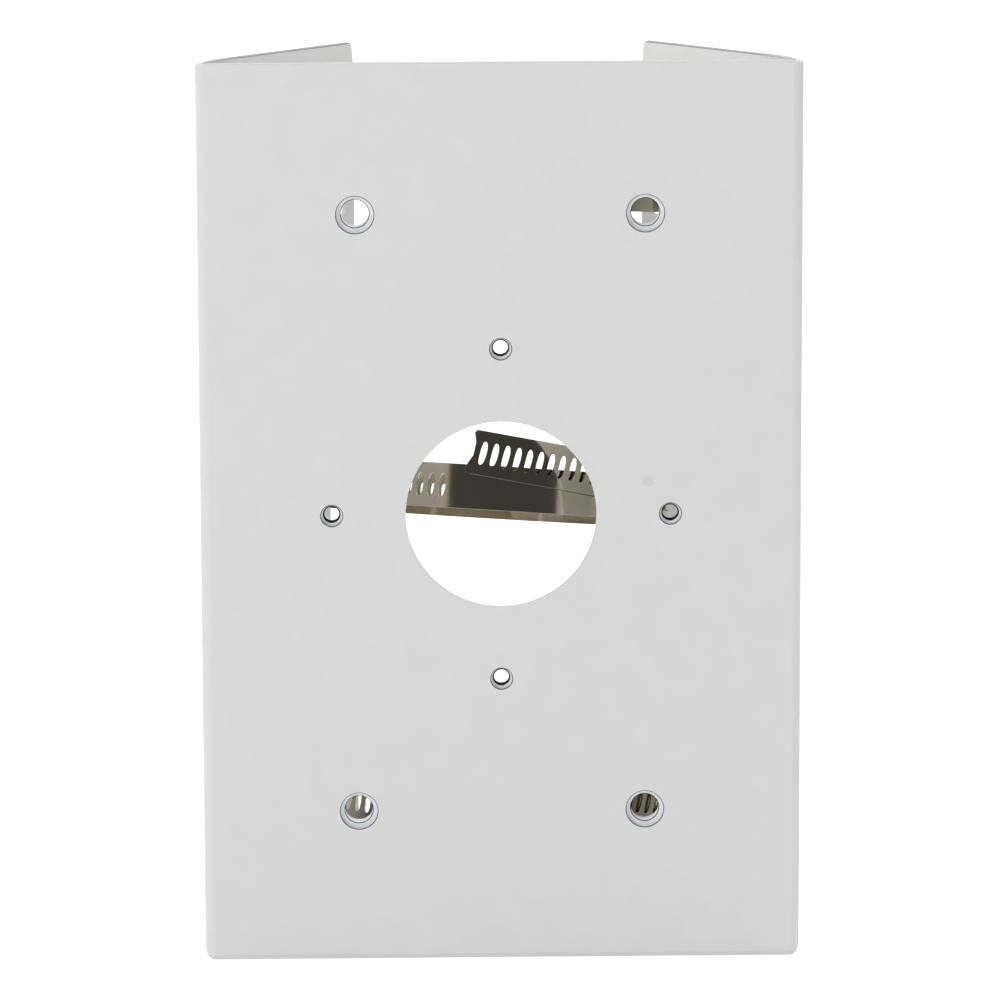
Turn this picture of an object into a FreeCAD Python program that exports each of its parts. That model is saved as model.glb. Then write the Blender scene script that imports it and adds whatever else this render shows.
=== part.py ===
"""Camera pole mount: folded steel bracket with weld nuts and three worm-drive straps.

Units are millimetres. X is to the right as seen from the front, Y goes back towards the
pole and Z is up. The origin is the centre of the cable hole on the front face of the plate.
"""
import math
import os

import FreeCAD
import Part

Vec = FreeCAD.Vector

# Folded plate
PLATE_WIDTH = 166.9
PLATE_TOP = 127.3
PLATE_BOTTOM = -127.9
SHEET = 2.0
FOLD_INNER_RADIUS = 0.8
WING_DEPTH = 34.0
WING_GAP = 82.6
TOP_EASE_WIDTH = 5.4
TOP_EASE_DROP = 0.65
BOTTOM_CORNER_RADIUS = 3.0
WING_CORNER_EASE = ((0.0, 6.5), (0.6, 0.5), (1.0, 0.0))

# Holes of the plate
CABLE_HOLE_DIAMETER = 53.0
CORNER_SPACING_X = 80.0
CORNER_SPACING_Z = 170.0
CORNER_HOLE_DIAMETER = 10.8
SMALL_CIRCLE_DIAMETER = 94.0
SMALL_HOLE_DIAMETER = 6.4
WELD_MARK_X = 40.8
WELD_MARK_Z = 9.3
WELD_MARK_DIAMETER = 3.0
WELD_MARK_DEPTH = 0.15

# Weld nuts
CORNER_NUT_ACROSS_FLATS = 15.0
CORNER_NUT_HEIGHT = 4.5
CORNER_NUT_BORE = 7.8
SMALL_NUT_ACROSS_FLATS = 9.0
SMALL_NUT_HEIGHT = 3.6
SMALL_NUT_BORE = 4.3

# Strap slots in the wings
STRAP_PITCH = 90.0
WING_SLOT_PLAY = 10.6
WING_SLOT_WIDTH = 5.95
WING_SLOT_RADIUS = 0.9
WING_SLOT_MARGIN = 2.9

# Slotted bands
BAND_WIDTH = 12.4
BAND_THICKNESS = 0.65
LOOP_RADIUS = 70.0
BAND_SLOT_PITCH = 3.175
BAND_SLOT_LENGTH = 6.6
BAND_SLOT_WIDTH = 1.5
BAND_SLOT_SLANT = 5.0
SLOTS_PER_PANEL = 2
PLAIN_PANELS = 20
BAND_START = 12.0
SLOTS_START = -102.25
LAP_START = 30.0
LAP_END = 14.0
LAP_CLEARANCE = 0.2
TAIL_LEAVES = -8.0
TAIL_END = -97.64
TAIL_RISE = 8.8
TAIL_CURL = 1.38
TAIL_SPRING = 1.3
TAIL_WAVE = ((-1.0, 1.8), (-0.97, 0.37), (-0.82, 0.0), (-0.54, 0.5), (-0.15, 1.64), (0.43, 1.8), (0.85, 1.02), (1.0, 1.37))

# How each strap sits: row of slots, lift in its slots, droop to the back, roll to the right, turn
STRAPS = {
    "upper": (1, -1.35, 8.0, 3.9, 0.0),
    "middle": (0, 0.05, 14.4, 4.0, 0.0),
    "lower": (-1, -1.98, 5.0, 3.66, -0.8),
}
STRAP_SETBACK = 0.775

# Screw housings
HOUSING_LENGTH = 15.0
HOUSING_WALL = 0.9
HOUSING_LIP = 0.3
HOUSING_BAND_PLAY = 0.16
HOUSING_SCREW_PLAY = 0.15
SHOULDER_RADIUS = 8.3
SHOULDER_DROP = 3.2
SKIRT_RISE = 2.4
SKIRT_FLARE = 2.0

# Worm screws
SCREW_DIAMETER = 7.9
SCREW_BAND_GAP = 0.075
SCREW_CORE_DIAMETER = 5.8
SCREW_NECK_LENGTH = 1.2
SCREW_COLLAR_DIAMETER = 8.6
SCREW_COLLAR_LENGTH = 0.9
SCREW_COLLAR_GAP = 0.1
SCREW_DISC_DIAMETER = 7.1
SCREW_DISC_LENGTH = 0.8
SCREW_HEAD_ACROSS_FLATS = 7.0
SCREW_HEAD_LENGTH = 5.2
SCREW_HEAD_CHAMFER = 0.5
SCREW_SLOT_WIDTH = 1.2
SCREW_SLOT_DEPTH = 1.8

# Sizes that follow from the ones above
FOLD_OUTER_RADIUS = FOLD_INNER_RADIUS + SHEET
PLATE_HEIGHT = PLATE_TOP - PLATE_BOTTOM
LAP_STEP = BAND_THICKNESS + LAP_CLEARANCE
WING_SLOT_HEIGHT = BAND_WIDTH + WING_SLOT_PLAY
LAP_OUTER_RADIUS = LOOP_RADIUS + LAP_STEP + BAND_THICKNESS / 2
SCREW_AXIS = LAP_OUTER_RADIUS + SCREW_BAND_GAP + SCREW_DIAMETER / 2
HOUSING_WIDTH = BAND_WIDTH + 2 * (HOUSING_WALL + HOUSING_LIP)
CAVITY_RADIUS = SCREW_DIAMETER / 2 + HOUSING_SCREW_PLAY
OVERCUT = 1.0


def wing_line():
    """Find the fold angle that carries the wing from the fold to its rear corner.

    Returns:
        The fold angle in radians and the outer point where the straight wing starts.
    """
    centre_x = PLATE_WIDTH / 2 - FOLD_OUTER_RADIUS
    angle = math.radians(145.0)
    for _ in range(60):
        start_x = centre_x + FOLD_OUTER_RADIUS * math.sin(angle)
        start_y = FOLD_OUTER_RADIUS - FOLD_OUTER_RADIUS * math.cos(angle)
        slope = math.atan2(WING_DEPTH - start_y, start_x - WING_GAP / 2)
        angle = math.pi - slope
    return angle, start_x, start_y


FOLD_ANGLE, WING_START_X, WING_START_Y = wing_line()
WING_DIRECTION = Vec(math.cos(FOLD_ANGLE), math.sin(FOLD_ANGLE), 0)
WING_NORMAL = Vec(math.sin(FOLD_ANGLE), -math.cos(FOLD_ANGLE), 0)


def plan_profile():
    """Draw the plan section of the folded sheet as one closed face.

    Returns:
        A planar face at the lower end of the plate.
    """
    centre_x = PLATE_WIDTH / 2 - FOLD_OUTER_RADIUS
    half = FOLD_ANGLE / 2
    centre = Vec(centre_x, FOLD_OUTER_RADIUS, 0)

    def on_fold(radius, angle):
        return centre + Vec(radius * math.sin(angle), -radius * math.cos(angle), 0)

    outer_start = on_fold(FOLD_OUTER_RADIUS, 0)
    outer_mid = on_fold(FOLD_OUTER_RADIUS, half)
    outer_end = on_fold(FOLD_OUTER_RADIUS, FOLD_ANGLE)
    inner_start = on_fold(FOLD_INNER_RADIUS, 0)
    inner_mid = on_fold(FOLD_INNER_RADIUS, half)
    inner_end = on_fold(FOLD_INNER_RADIUS, FOLD_ANGLE)
    length = (WING_DEPTH - WING_START_Y) / WING_DIRECTION.y
    tip_outer = outer_end + WING_DIRECTION * length
    tip_inner = inner_end + WING_DIRECTION * length

    def mirror(point):
        return Vec(-point.x, point.y, point.z)

    edges = [
        Part.makeLine(mirror(outer_start), outer_start),
        Part.Arc(outer_start, outer_mid, outer_end).toShape(),
        Part.makeLine(outer_end, tip_outer),
        Part.makeLine(tip_outer, tip_inner),
        Part.makeLine(tip_inner, inner_end),
        Part.Arc(inner_end, inner_mid, inner_start).toShape(),
        Part.makeLine(inner_start, mirror(inner_start)),
        Part.Arc(mirror(inner_start), mirror(inner_mid), mirror(inner_end)).toShape(),
        Part.makeLine(mirror(inner_end), mirror(tip_inner)),
        Part.makeLine(mirror(tip_inner), mirror(tip_outer)),
        Part.makeLine(mirror(tip_outer), mirror(outer_end)),
        Part.Arc(mirror(outer_end), mirror(outer_mid), mirror(outer_start)).toShape(),
    ]
    face = Part.Face(Part.Wire(Part.__sortEdges__(edges)))
    face.translate(Vec(0, 0, PLATE_BOTTOM))
    return face


def front_outline():
    """Make the block whose front view is the outline of the plate.

    Its lower corners are round. Each upper corner eases down over the fold.
    """
    half = PLATE_WIDTH / 2
    radius = BOTTOM_CORNER_RADIUS
    side = half - radius
    foot = PLATE_BOTTOM + radius
    ease = (TOP_EASE_WIDTH ** 2 + TOP_EASE_DROP ** 2) / (2 * TOP_EASE_DROP)
    turn = math.asin(TOP_EASE_WIDTH / ease)
    diagonal = radius * math.sqrt(0.5)

    def at(x, z):
        return Vec(x, -WING_DEPTH, z)

    top_mid_x = half - TOP_EASE_WIDTH + ease * math.sin(turn / 2)
    top_mid_z = PLATE_TOP - ease + ease * math.cos(turn / 2)
    edges = [Part.makeLine(at(-side, PLATE_BOTTOM), at(side, PLATE_BOTTOM)),
             Part.makeLine(at(half - TOP_EASE_WIDTH, PLATE_TOP), at(TOP_EASE_WIDTH - half, PLATE_TOP))]
    for sign in (-1, 1):
        edges.append(Part.Arc(at(sign * side, PLATE_BOTTOM), at(sign * (side + diagonal), foot - diagonal),
                              at(sign * half, foot)).toShape())
        edges.append(Part.makeLine(at(sign * half, foot), at(sign * half, PLATE_TOP - TOP_EASE_DROP)))
        edges.append(Part.Arc(at(sign * half, PLATE_TOP - TOP_EASE_DROP), at(sign * top_mid_x, top_mid_z),
                              at(sign * (half - TOP_EASE_WIDTH), PLATE_TOP)).toShape())
    return Part.Face(Part.Wire(Part.__sortEdges__(edges))).extrude(Vec(0, 3 * WING_DEPTH, 0))


def wing_frame(side, along, height):
    """Give the placement of a feature on a wing.

    Args:
        side: 1 for the right wing, -1 for the left one.
        along: distance from the rear corner towards the fold, in the wing.
        height: Z of the feature.

    Returns:
        A placement whose local X runs along the wing and local Y through the sheet.
    """
    point = Vec(WING_GAP / 2, WING_DEPTH, 0) - WING_DIRECTION * along - WING_NORMAL * (SHEET / 2)
    turn = math.degrees(math.atan2(WING_DIRECTION.y, WING_DIRECTION.x))
    angle = turn if side > 0 else 180.0 - turn
    return FreeCAD.Placement(Vec(side * point.x, point.y, height), FreeCAD.Rotation(Vec(0, 0, 1), angle))


def wing_slot():
    """Make the cutter of one strap slot, long way up and rounded in its corners."""
    size = Vec(WING_SLOT_WIDTH, 4 * SHEET, WING_SLOT_HEIGHT)
    block = Part.makeBox(size.x, size.y, size.z, size * -0.5)
    edges = []
    for edge in block.Edges:
        run = edge.Vertexes[-1].Point - edge.Vertexes[0].Point
        if abs(run.y) > SHEET:
            edges.append(edge)
    return block.makeFillet(WING_SLOT_RADIUS, edges)


def corner_ease(end):
    """Make the cutter that eases one rear corner of a wing, for its upper or lower end."""
    ring = [Vec(-inward, -2 * SHEET, -end * down) for inward, down in WING_CORNER_EASE]
    reach = OVERCUT * end
    ring.append(Vec(ring[-1].x, ring[-1].y, reach))
    ring.append(Vec(OVERCUT, ring[-1].y, reach))
    ring.append(Vec(OVERCUT, ring[-1].y, ring[0].z))
    return flat_face(ring).extrude(Vec(0, 4 * SHEET, 0))


def mount_plate():
    """Build the folded sheet with its holes, strap slots and eased corners."""
    sheet = plan_profile().extrude(Vec(0, 0, PLATE_HEIGHT)).common(front_outline())
    back = Vec(0, 1, 0)
    cutters = [Part.makeCylinder(CABLE_HOLE_DIAMETER / 2, 3 * SHEET, Vec(0, -SHEET, 0), back)]
    for x, z in corner_points():
        cutters.append(Part.makeCylinder(CORNER_HOLE_DIAMETER / 2, 3 * SHEET, Vec(x, -SHEET, z), back))
    for x, z in small_points():
        cutters.append(Part.makeCylinder(SMALL_HOLE_DIAMETER / 2, 3 * SHEET, Vec(x, -SHEET, z), back))
    cutters.append(Part.makeCylinder(WELD_MARK_DIAMETER / 2, OVERCUT + WELD_MARK_DEPTH,
                                     Vec(WELD_MARK_X, -OVERCUT, WELD_MARK_Z), back))
    slot = wing_slot()
    for side in (-1, 1):
        for row in (-1, 0, 1):
            piece = slot.copy()
            piece.Placement = wing_frame(side, WING_SLOT_MARGIN + WING_SLOT_WIDTH / 2, row * STRAP_PITCH)
            cutters.append(piece)
        for end, height in ((-1, PLATE_BOTTOM), (1, PLATE_TOP)):
            piece = corner_ease(end)
            piece.Placement = wing_frame(side, 0.0, height)
            cutters.append(piece)
    return sheet.cut(cutters)


def corner_points():
    """List the X and Z of the four corner holes."""
    half_x, half_z = CORNER_SPACING_X / 2, CORNER_SPACING_Z / 2
    return [(-half_x, half_z), (half_x, half_z), (-half_x, -half_z), (half_x, -half_z)]


def small_points():
    """List the X and Z of the four small holes round the cable hole."""
    radius = SMALL_CIRCLE_DIAMETER / 2
    return [(0.0, radius), (radius, 0.0), (0.0, -radius), (-radius, 0.0)]


def hexagon(across_flats, height, turn):
    """Draw a closed hexagon in the XZ plane at a given Y, turned by an angle in degrees."""
    corner = across_flats / math.sqrt(3)
    points = []
    for index in range(7):
        angle = math.radians(60 * index + turn)
        points.append(Vec(corner * math.cos(angle), height, corner * math.sin(angle)))
    return Part.Face(Part.makePolygon(points))


def weld_nut(x, z, across_flats, height, bore):
    """Build one hexagonal weld nut against the back of the plate."""
    prism = hexagon(across_flats, 0, 0).extrude(Vec(0, height, 0))
    nut = prism.cut(Part.makeCylinder(bore / 2, 3 * height, Vec(0, -height, 0), Vec(0, 1, 0)))
    nut.translate(Vec(x, SHEET, z))
    return nut


def polar(radius, degrees, height=0.0):
    """Give a point of the loop: 0 is right, -90 front, 180 left and 90 back."""
    angle = math.radians(degrees)
    return Vec(radius * math.cos(angle), radius * math.sin(angle), height)


def smooth(value):
    """Ease a value from 0 to 1."""
    value = min(1.0, max(0.0, value))
    return value * value * (3 - 2 * value)


def loop_point(degrees):
    """Give the centre line of the band at an angle counted on round the loop.

    The band starts under the housing, runs over the front, the left and the back, steps
    over its own start and goes on as the free tail.
    """
    lapped = degrees + 360.0
    radius = LOOP_RADIUS + LAP_STEP * smooth((LAP_START - lapped) / (LAP_START - LAP_END))
    share = max(0.0, TAIL_LEAVES - lapped) / (TAIL_LEAVES + 90.0)
    radius += TAIL_SPRING * smooth(share)
    return polar(radius, degrees, TAIL_RISE * share ** TAIL_CURL)


def band_stations():
    """List the angles at which the band is creased, and how many slots each panel carries."""
    pitch = math.degrees(BAND_SLOT_PITCH / LOOP_RADIUS)
    angles, slots = [], []
    for index in range(PLAIN_PANELS):
        angles.append(BAND_START + (SLOTS_START - BAND_START) * index / PLAIN_PANELS)
        slots.append(0)
    end = TAIL_END - 360.0
    left = int((SLOTS_START - end) / pitch)
    angle = SLOTS_START
    while left > 0:
        count = min(left, SLOTS_PER_PANEL)
        angles.append(angle)
        slots.append(count)
        angle -= pitch * count
        left -= count
    angles += [angle, end]
    slots.append(0)
    return angles, slots


def slot_outline(first, last, share):
    """Draw one slanted slot of a panel.

    Args:
        first: where the panel starts on its outer skin, halfway up.
        last: where the panel ends.
        share: how far along the panel the slot stands.

    Returns:
        The four corners of the slot.
    """
    level = Vec(last.x - first.x, last.y - first.y, 0)
    tilt = math.radians(BAND_SLOT_SLANT) + math.atan2(last.z - first.z, level.Length)
    along = level.normalize()
    long_way = Vec(0, 0, math.cos(tilt)) - along * math.sin(tilt)
    short_way = along * math.cos(tilt) + Vec(0, 0, math.sin(tilt))
    middle = first + (last - first) * share
    half_length, half_width = BAND_SLOT_LENGTH / 2, BAND_SLOT_WIDTH / 2
    corners = ((-1, -1), (-1, 1), (1, 1), (1, -1))
    return [middle + long_way * (u * half_length) + short_way * (w * half_width) for u, w in corners]


def flat_face(points, holes=()):
    """Make a flat face from its corners, with optional openings."""
    wires = [Part.makePolygon(points + [points[0]])]
    for hole in holes:
        wires.append(Part.makePolygon([hole[0]] + hole[::-1]))
    return Part.Face(wires)


def band_skins(centres):
    """Offset the creased centre line to the outer and inner skins.

    Returns:
        The panel normals, then the points of the outer and of the inner skin.
    """
    count = len(centres) - 1
    normals = []
    for index in range(count):
        run = centres[index + 1] - centres[index]
        normals.append(Vec(-run.y, run.x, 0).normalize())
        if normals[-1].dot(Vec(centres[index].x, centres[index].y, 0)) < 0:
            normals[-1] = normals[-1] * -1
    outer, inner = [], []
    for index in range(count + 1):
        after = normals[min(count - 1, index)]
        mitre = (normals[max(0, index - 1)] + after).normalize()
        reach = mitre * (BAND_THICKNESS / 2 / mitre.dot(after))
        outer.append(centres[index] + reach)
        inner.append(centres[index] - reach)
    return normals, outer, inner


def band():
    """Build one band as a chain of flat panels, each with a few slots."""
    angles, slots = band_stations()
    centres = [loop_point(angle) for angle in angles]
    normals, outer, inner = band_skins(centres)
    up = Vec(0, 0, BAND_WIDTH / 2)
    faces = []
    for index, count in enumerate(slots):
        through = normals[index] * -BAND_THICKNESS
        holes = []
        for number in range(count):
            holes.append(slot_outline(outer[index], outer[index + 1], (number + 0.5) / count))
        for hole in holes:
            for corner in range(len(hole)):
                first, last = hole[corner - 1], hole[corner]
                faces.append(flat_face([first, last, last + through, first + through]))
        for row, depth in ((outer, Vec(0, 0, 0)), (inner, through)):
            first, last = row[index], row[index + 1]
            openings = [[point + depth for point in hole] for hole in holes]
            faces.append(flat_face([first - up, last - up, last + up, first + up], openings))
        for lift in (up, up * -1):
            corners = [outer[index] + lift, outer[index + 1] + lift, inner[index + 1] + lift, inner[index] + lift]
            faces.append(flat_face(corners[:3]))
            faces.append(flat_face([corners[0], corners[2], corners[3]]))
    for index in (0, len(slots)):
        faces.append(flat_face([outer[index] - up, outer[index] + up, inner[index] + up, inner[index] - up]))
    shell = Part.Shell(faces)
    shell.sewShape()
    solid = Part.Solid(shell)
    if solid.Volume < 0:
        solid.reverse()
    return solid.cut(tail_trim(centres[-2], centres[-1], normals[-1]))


def tail_trim(before, point, outward):
    """Make the cutter that gives the free end its waved edge."""
    ahead = (point - before).normalize()
    width = outward.cross(ahead).normalize()
    if width.z < 0:
        width = width * -1
    half = BAND_WIDTH / 2
    reach = 3 * BAND_THICKNESS
    base = point - outward * reach
    ring = [base - width * (half + OVERCUT) - ahead * TAIL_WAVE[0][1]]
    for share, back in TAIL_WAVE:
        ring.append(base + width * (share * half) - ahead * back)
    ring.append(base + width * (half + OVERCUT) - ahead * TAIL_WAVE[-1][1])
    ring.append(ring[-1] + ahead * BAND_SLOT_PITCH)
    ring.append(ring[0] + ahead * BAND_SLOT_PITCH)
    return flat_face(ring).extrude(outward * (2 * reach))


def band_channel():
    """Make the cutter that clears the lapped band through the housing."""
    inner = LOOP_RADIUS - BAND_THICKNESS / 2 - HOUSING_BAND_PLAY
    outer = LAP_OUTER_RADIUS + HOUSING_BAND_PLAY
    height = BAND_WIDTH + HOUSING_LIP
    base = Vec(0, 0, -height / 2)
    ring = Part.makeCylinder(outer, height, base).cut(Part.makeCylinder(inner, height, base))
    return ring.common(Part.makeBox(2 * HOUSING_WIDTH, 2 * HOUSING_LENGTH, height,
                                    Vec(LOOP_RADIUS - HOUSING_WIDTH, -HOUSING_LENGTH, -height / 2)))


def screw_housing():
    """Build the pressed housing that holds the worm screw over the lapped band."""
    start = -HOUSING_LENGTH / 2
    along = Vec(0, 1, 0)
    floor = LOOP_RADIUS - BAND_THICKNESS / 2 - HOUSING_BAND_PLAY - HOUSING_WALL
    roof = CAVITY_RADIUS + HOUSING_WALL
    corner = Vec(floor, start, -HOUSING_WIDTH / 2)
    skirt = Part.makeBox(SKIRT_RISE + SKIRT_FLARE, HOUSING_LENGTH, HOUSING_WIDTH, corner - Vec(SKIRT_FLARE, 0, 0))
    shoulder = Part.makeBox(SCREW_AXIS + roof - floor, HOUSING_LENGTH, HOUSING_WIDTH, corner)
    shoulder = shoulder.common(Part.makeCylinder(SHOULDER_RADIUS, HOUSING_LENGTH,
                                                 Vec(SCREW_AXIS - SHOULDER_DROP, start, 0), along))
    dome = Part.makeCylinder(roof, HOUSING_LENGTH, Vec(SCREW_AXIS, start, 0), along)
    body = skirt.fuse([dome, shoulder]).removeSplitter()
    bore = Part.makeCylinder(CAVITY_RADIUS, HOUSING_LENGTH + 2 * OVERCUT, Vec(SCREW_AXIS, start - OVERCUT, 0), along)
    hollow = Part.makeCylinder(floor, 2 * HOUSING_WIDTH, Vec(0, 0, -HOUSING_WIDTH))
    return body.cut([hollow, band_channel(), bore])


def worm_screw():
    """Build the worm screw with end disc, collar and slotted hexagon head."""
    half = HOUSING_LENGTH / 2
    core = SCREW_CORE_DIAMETER / 2
    crest = SCREW_DIAMETER / 2
    collar = half + SCREW_COLLAR_GAP
    neck = half - SCREW_NECK_LENGTH
    head_start = collar + SCREW_COLLAR_LENGTH
    profile = [
        Vec(0, -half - SCREW_COLLAR_GAP - SCREW_DISC_LENGTH, 0),
        Vec(SCREW_DISC_DIAMETER / 2, -half - SCREW_COLLAR_GAP - SCREW_DISC_LENGTH, 0),
        Vec(SCREW_DISC_DIAMETER / 2, -half - SCREW_COLLAR_GAP, 0),
        Vec(core, -half - SCREW_COLLAR_GAP, 0),
        Vec(core, -neck, 0),
        Vec(crest, -neck, 0),
        Vec(crest, neck, 0),
        Vec(core, neck, 0),
        Vec(core, collar, 0),
        Vec(SCREW_COLLAR_DIAMETER / 2, collar, 0),
        Vec(SCREW_COLLAR_DIAMETER / 2, head_start, 0),
        Vec(0, head_start, 0),
    ]
    shaft = flat_face(profile).revolve(Vec(0, 0, 0), Vec(0, 1, 0), 360)

    corner = SCREW_HEAD_ACROSS_FLATS / math.sqrt(3)
    top = head_start + SCREW_HEAD_LENGTH
    head = hexagon(SCREW_HEAD_ACROSS_FLATS, head_start, 0).extrude(Vec(0, SCREW_HEAD_LENGTH, 0))
    head = head.common(Part.makeCone(corner + SCREW_HEAD_LENGTH - SCREW_HEAD_CHAMFER, corner - SCREW_HEAD_CHAMFER,
                                     SCREW_HEAD_LENGTH, Vec(0, head_start, 0), Vec(0, 1, 0)))
    groove = Part.makeBox(SCREW_SLOT_WIDTH, SCREW_SLOT_DEPTH + OVERCUT, 4 * corner,
                          Vec(-SCREW_SLOT_WIDTH / 2, top - SCREW_SLOT_DEPTH, -2 * corner))
    screw = shaft.fuse(head).cut(groove).removeSplitter()
    screw.translate(Vec(SCREW_AXIS, 0, 0))
    return screw


def strap_placement(name):
    """Give the placement that carries the loop frame into the bracket frame.

    The front run stands so far back that the band passes through the wing slots.
    """
    row, lift, droop, roll, turn = STRAPS[name]
    crossing = wing_frame(1, WING_SLOT_MARGIN + WING_SLOT_WIDTH / 2 - STRAP_SETBACK, 0.0).Base
    run_back = LOOP_RADIUS - math.sqrt(LOOP_RADIUS ** 2 - crossing.x ** 2)
    height = row * STRAP_PITCH + lift + run_back * math.tan(math.radians(droop))
    tilt = FreeCAD.Rotation(Vec(0, 1, 0), roll).multiply(FreeCAD.Rotation(Vec(1, 0, 0), -droop))
    middle = Vec(0, crossing.y - run_back, height) - tilt.multVec(Vec(0, -LOOP_RADIUS, 0))
    return FreeCAD.Placement(middle, tilt.multiply(FreeCAD.Rotation(Vec(0, 0, 1), turn)))


def save(name, shape):
    """Write one solid as a STEP file and report its size."""
    shape.Solids[0].exportStep("parts/" + name + ".step")
    box = shape.BoundBox
    print(name, len(shape.Solids), shape.isValid(), round(shape.Volume, 1),
          [round(v, 1) for v in (box.XMin, box.XMax, box.YMin, box.YMax, box.ZMin, box.ZMax)])


def main():
    """Build every piece of the mount and write it to the parts folder."""
    os.makedirs("parts", exist_ok=True)
    save("mount_plate", mount_plate())
    for name, (x, z) in zip(("upper_left", "upper_right", "lower_left", "lower_right"), corner_points()):
        save("corner_nut_" + name, weld_nut(x, z, CORNER_NUT_ACROSS_FLATS, CORNER_NUT_HEIGHT, CORNER_NUT_BORE))
    for name, (x, z) in zip(("top", "right", "bottom", "left"), small_points()):
        save("small_nut_" + name, weld_nut(x, z, SMALL_NUT_ACROSS_FLATS, SMALL_NUT_HEIGHT, SMALL_NUT_BORE))
    pieces = {"band": band(), "housing": screw_housing(), "screw": worm_screw()}
    for name in STRAPS:
        placement = strap_placement(name)
        print(name, placement.Base)
        for kind, shape in pieces.items():
            piece = shape.copy()
            piece.Placement = placement.multiply(piece.Placement)
            save(name + "_" + kind, piece)


main()
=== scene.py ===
"""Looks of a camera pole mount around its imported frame.

A white powder-coated folded plate carries painted weld nuts and three stainless
worm-drive straps. Every length is in metres unless a name says mm.
"""

import logging
import math
from dataclasses import dataclass
from enum import Enum
from typing import Iterable

import bmesh
import bpy
from mathutils import Matrix, Quaternion, Vector


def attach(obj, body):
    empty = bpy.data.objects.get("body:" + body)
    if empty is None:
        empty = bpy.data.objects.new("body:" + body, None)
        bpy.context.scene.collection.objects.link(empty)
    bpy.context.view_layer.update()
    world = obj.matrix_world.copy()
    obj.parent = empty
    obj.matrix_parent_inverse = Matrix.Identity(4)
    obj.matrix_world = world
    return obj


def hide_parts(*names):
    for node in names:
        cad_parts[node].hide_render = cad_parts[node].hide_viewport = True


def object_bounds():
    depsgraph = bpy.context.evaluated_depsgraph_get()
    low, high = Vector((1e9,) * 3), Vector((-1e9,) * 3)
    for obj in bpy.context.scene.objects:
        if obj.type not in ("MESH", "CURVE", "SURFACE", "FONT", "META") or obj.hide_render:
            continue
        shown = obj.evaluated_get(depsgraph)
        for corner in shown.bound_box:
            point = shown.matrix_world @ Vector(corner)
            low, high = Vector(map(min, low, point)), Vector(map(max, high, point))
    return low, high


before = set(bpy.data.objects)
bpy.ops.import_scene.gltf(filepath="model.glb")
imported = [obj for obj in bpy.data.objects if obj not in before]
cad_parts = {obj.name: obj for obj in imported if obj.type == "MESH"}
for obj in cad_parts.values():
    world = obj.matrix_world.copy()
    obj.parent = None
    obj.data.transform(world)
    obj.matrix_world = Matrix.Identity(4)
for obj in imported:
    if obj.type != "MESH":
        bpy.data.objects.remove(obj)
CAD_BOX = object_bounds()

# Short names of the types in signatures
Corner = bmesh.types.BMVert
Pair = tuple[float, float]
Material = bpy.types.Material
Piece = bpy.types.Object
Socket = bpy.types.NodeSocket
Tree = bpy.types.NodeTree

LOG = logging.getLogger("camera_pole_mount")
MM = 0.001
FULL_TURN = 2.0 * math.pi
WELD_MM = 0.002
SHARP_DEGREES = 32.0


class Strap(Enum):
    """The three straps, named by their height on the bracket."""

    UPPER = "upper"
    MIDDLE = "middle"
    LOWER = "lower"


class Bodies(Enum):
    """The bodies that pieces ride on."""

    BRACKET = "bracket"
    UPPER_WORM = "upper_worm"
    MIDDLE_WORM = "middle_worm"
    LOWER_WORM = "lower_worm"


# Colour and node helpers


def linear_from_hex(code: str) -> tuple[float, float, float, float]:
    """Turn an sRGB hex colour into linear RGBA.

    Args:
        code: six hex digits with a leading hash.

    Returns:
        Linear red, green and blue, and an alpha of one.
    """
    channels = []
    for start in (1, 3, 5):
        value = int(code[start:start + 2], 16) / 255.0
        if value <= 0.04045:
            channels.append(value / 12.92)
        else:
            channels.append(((value + 0.055) / 1.055) ** 2.4)
    return channels[0], channels[1], channels[2], 1.0


def add_node(
    tree: Tree,
    kind: str,
    settings: dict[object, object] | None = None,
    links: dict[object, Socket] | None = None,
) -> bpy.types.Node:
    """Add one shader node with its settings and incoming links.

    Args:
        tree: the node tree to add to.
        kind: the node's type name after ShaderNode.
        settings: attribute names, or input names or numbers, with their values.
        links: input names with the sockets that feed them.

    Returns:
        The new node.
    """
    node = tree.nodes.new("ShaderNode" + kind)
    for name, value in (settings or {}).items():
        if isinstance(name, str) and hasattr(node, name):
            setattr(node, name, value)
        else:
            node.inputs[name].default_value = value
    for name, socket in (links or {}).items():
        tree.links.new(socket, node.inputs[name])
    return node


def new_material(name: str) -> tuple[Material, Tree]:
    """Make an empty node material.

    Args:
        name: name of the material.

    Returns:
        The material and its node tree.
    """
    material = bpy.data.materials.new(name)
    material.use_nodes = True
    material.node_tree.nodes.clear()
    return material, material.node_tree


def add_noise(tree: Tree, place: Socket, scale: float, detail: float, roughness: float) -> Socket:
    """Add noise that follows a coordinate.

    Args:
        tree: the node tree.
        place: the coordinate's socket.
        scale: lumps per unit of the coordinate.
        detail: octaves of finer noise.
        roughness: strength of the finer noise.

    Returns:
        The noise from 0 to 1.
    """
    settings = {"Scale": scale, "Detail": detail, "Roughness": roughness}
    return add_node(tree, "TexNoise", settings, {"Vector": place}).outputs["Fac"]


def add_range(
    tree: Tree, value: Socket, source: Pair, result: Pair = (0.0, 1.0),
) -> Socket:
    """Map a value from one range to another.

    Args:
        tree: the node tree.
        value: the value's socket.
        source: first and last value that are mapped.
        result: what they become. Values outside stay at the ends.

    Returns:
        The mapped value.
    """
    settings = {"From Min": source[0], "From Max": source[1], "To Min": result[0], "To Max": result[1]}
    return add_node(tree, "MapRange", settings, {"Value": value}).outputs[0]


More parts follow.
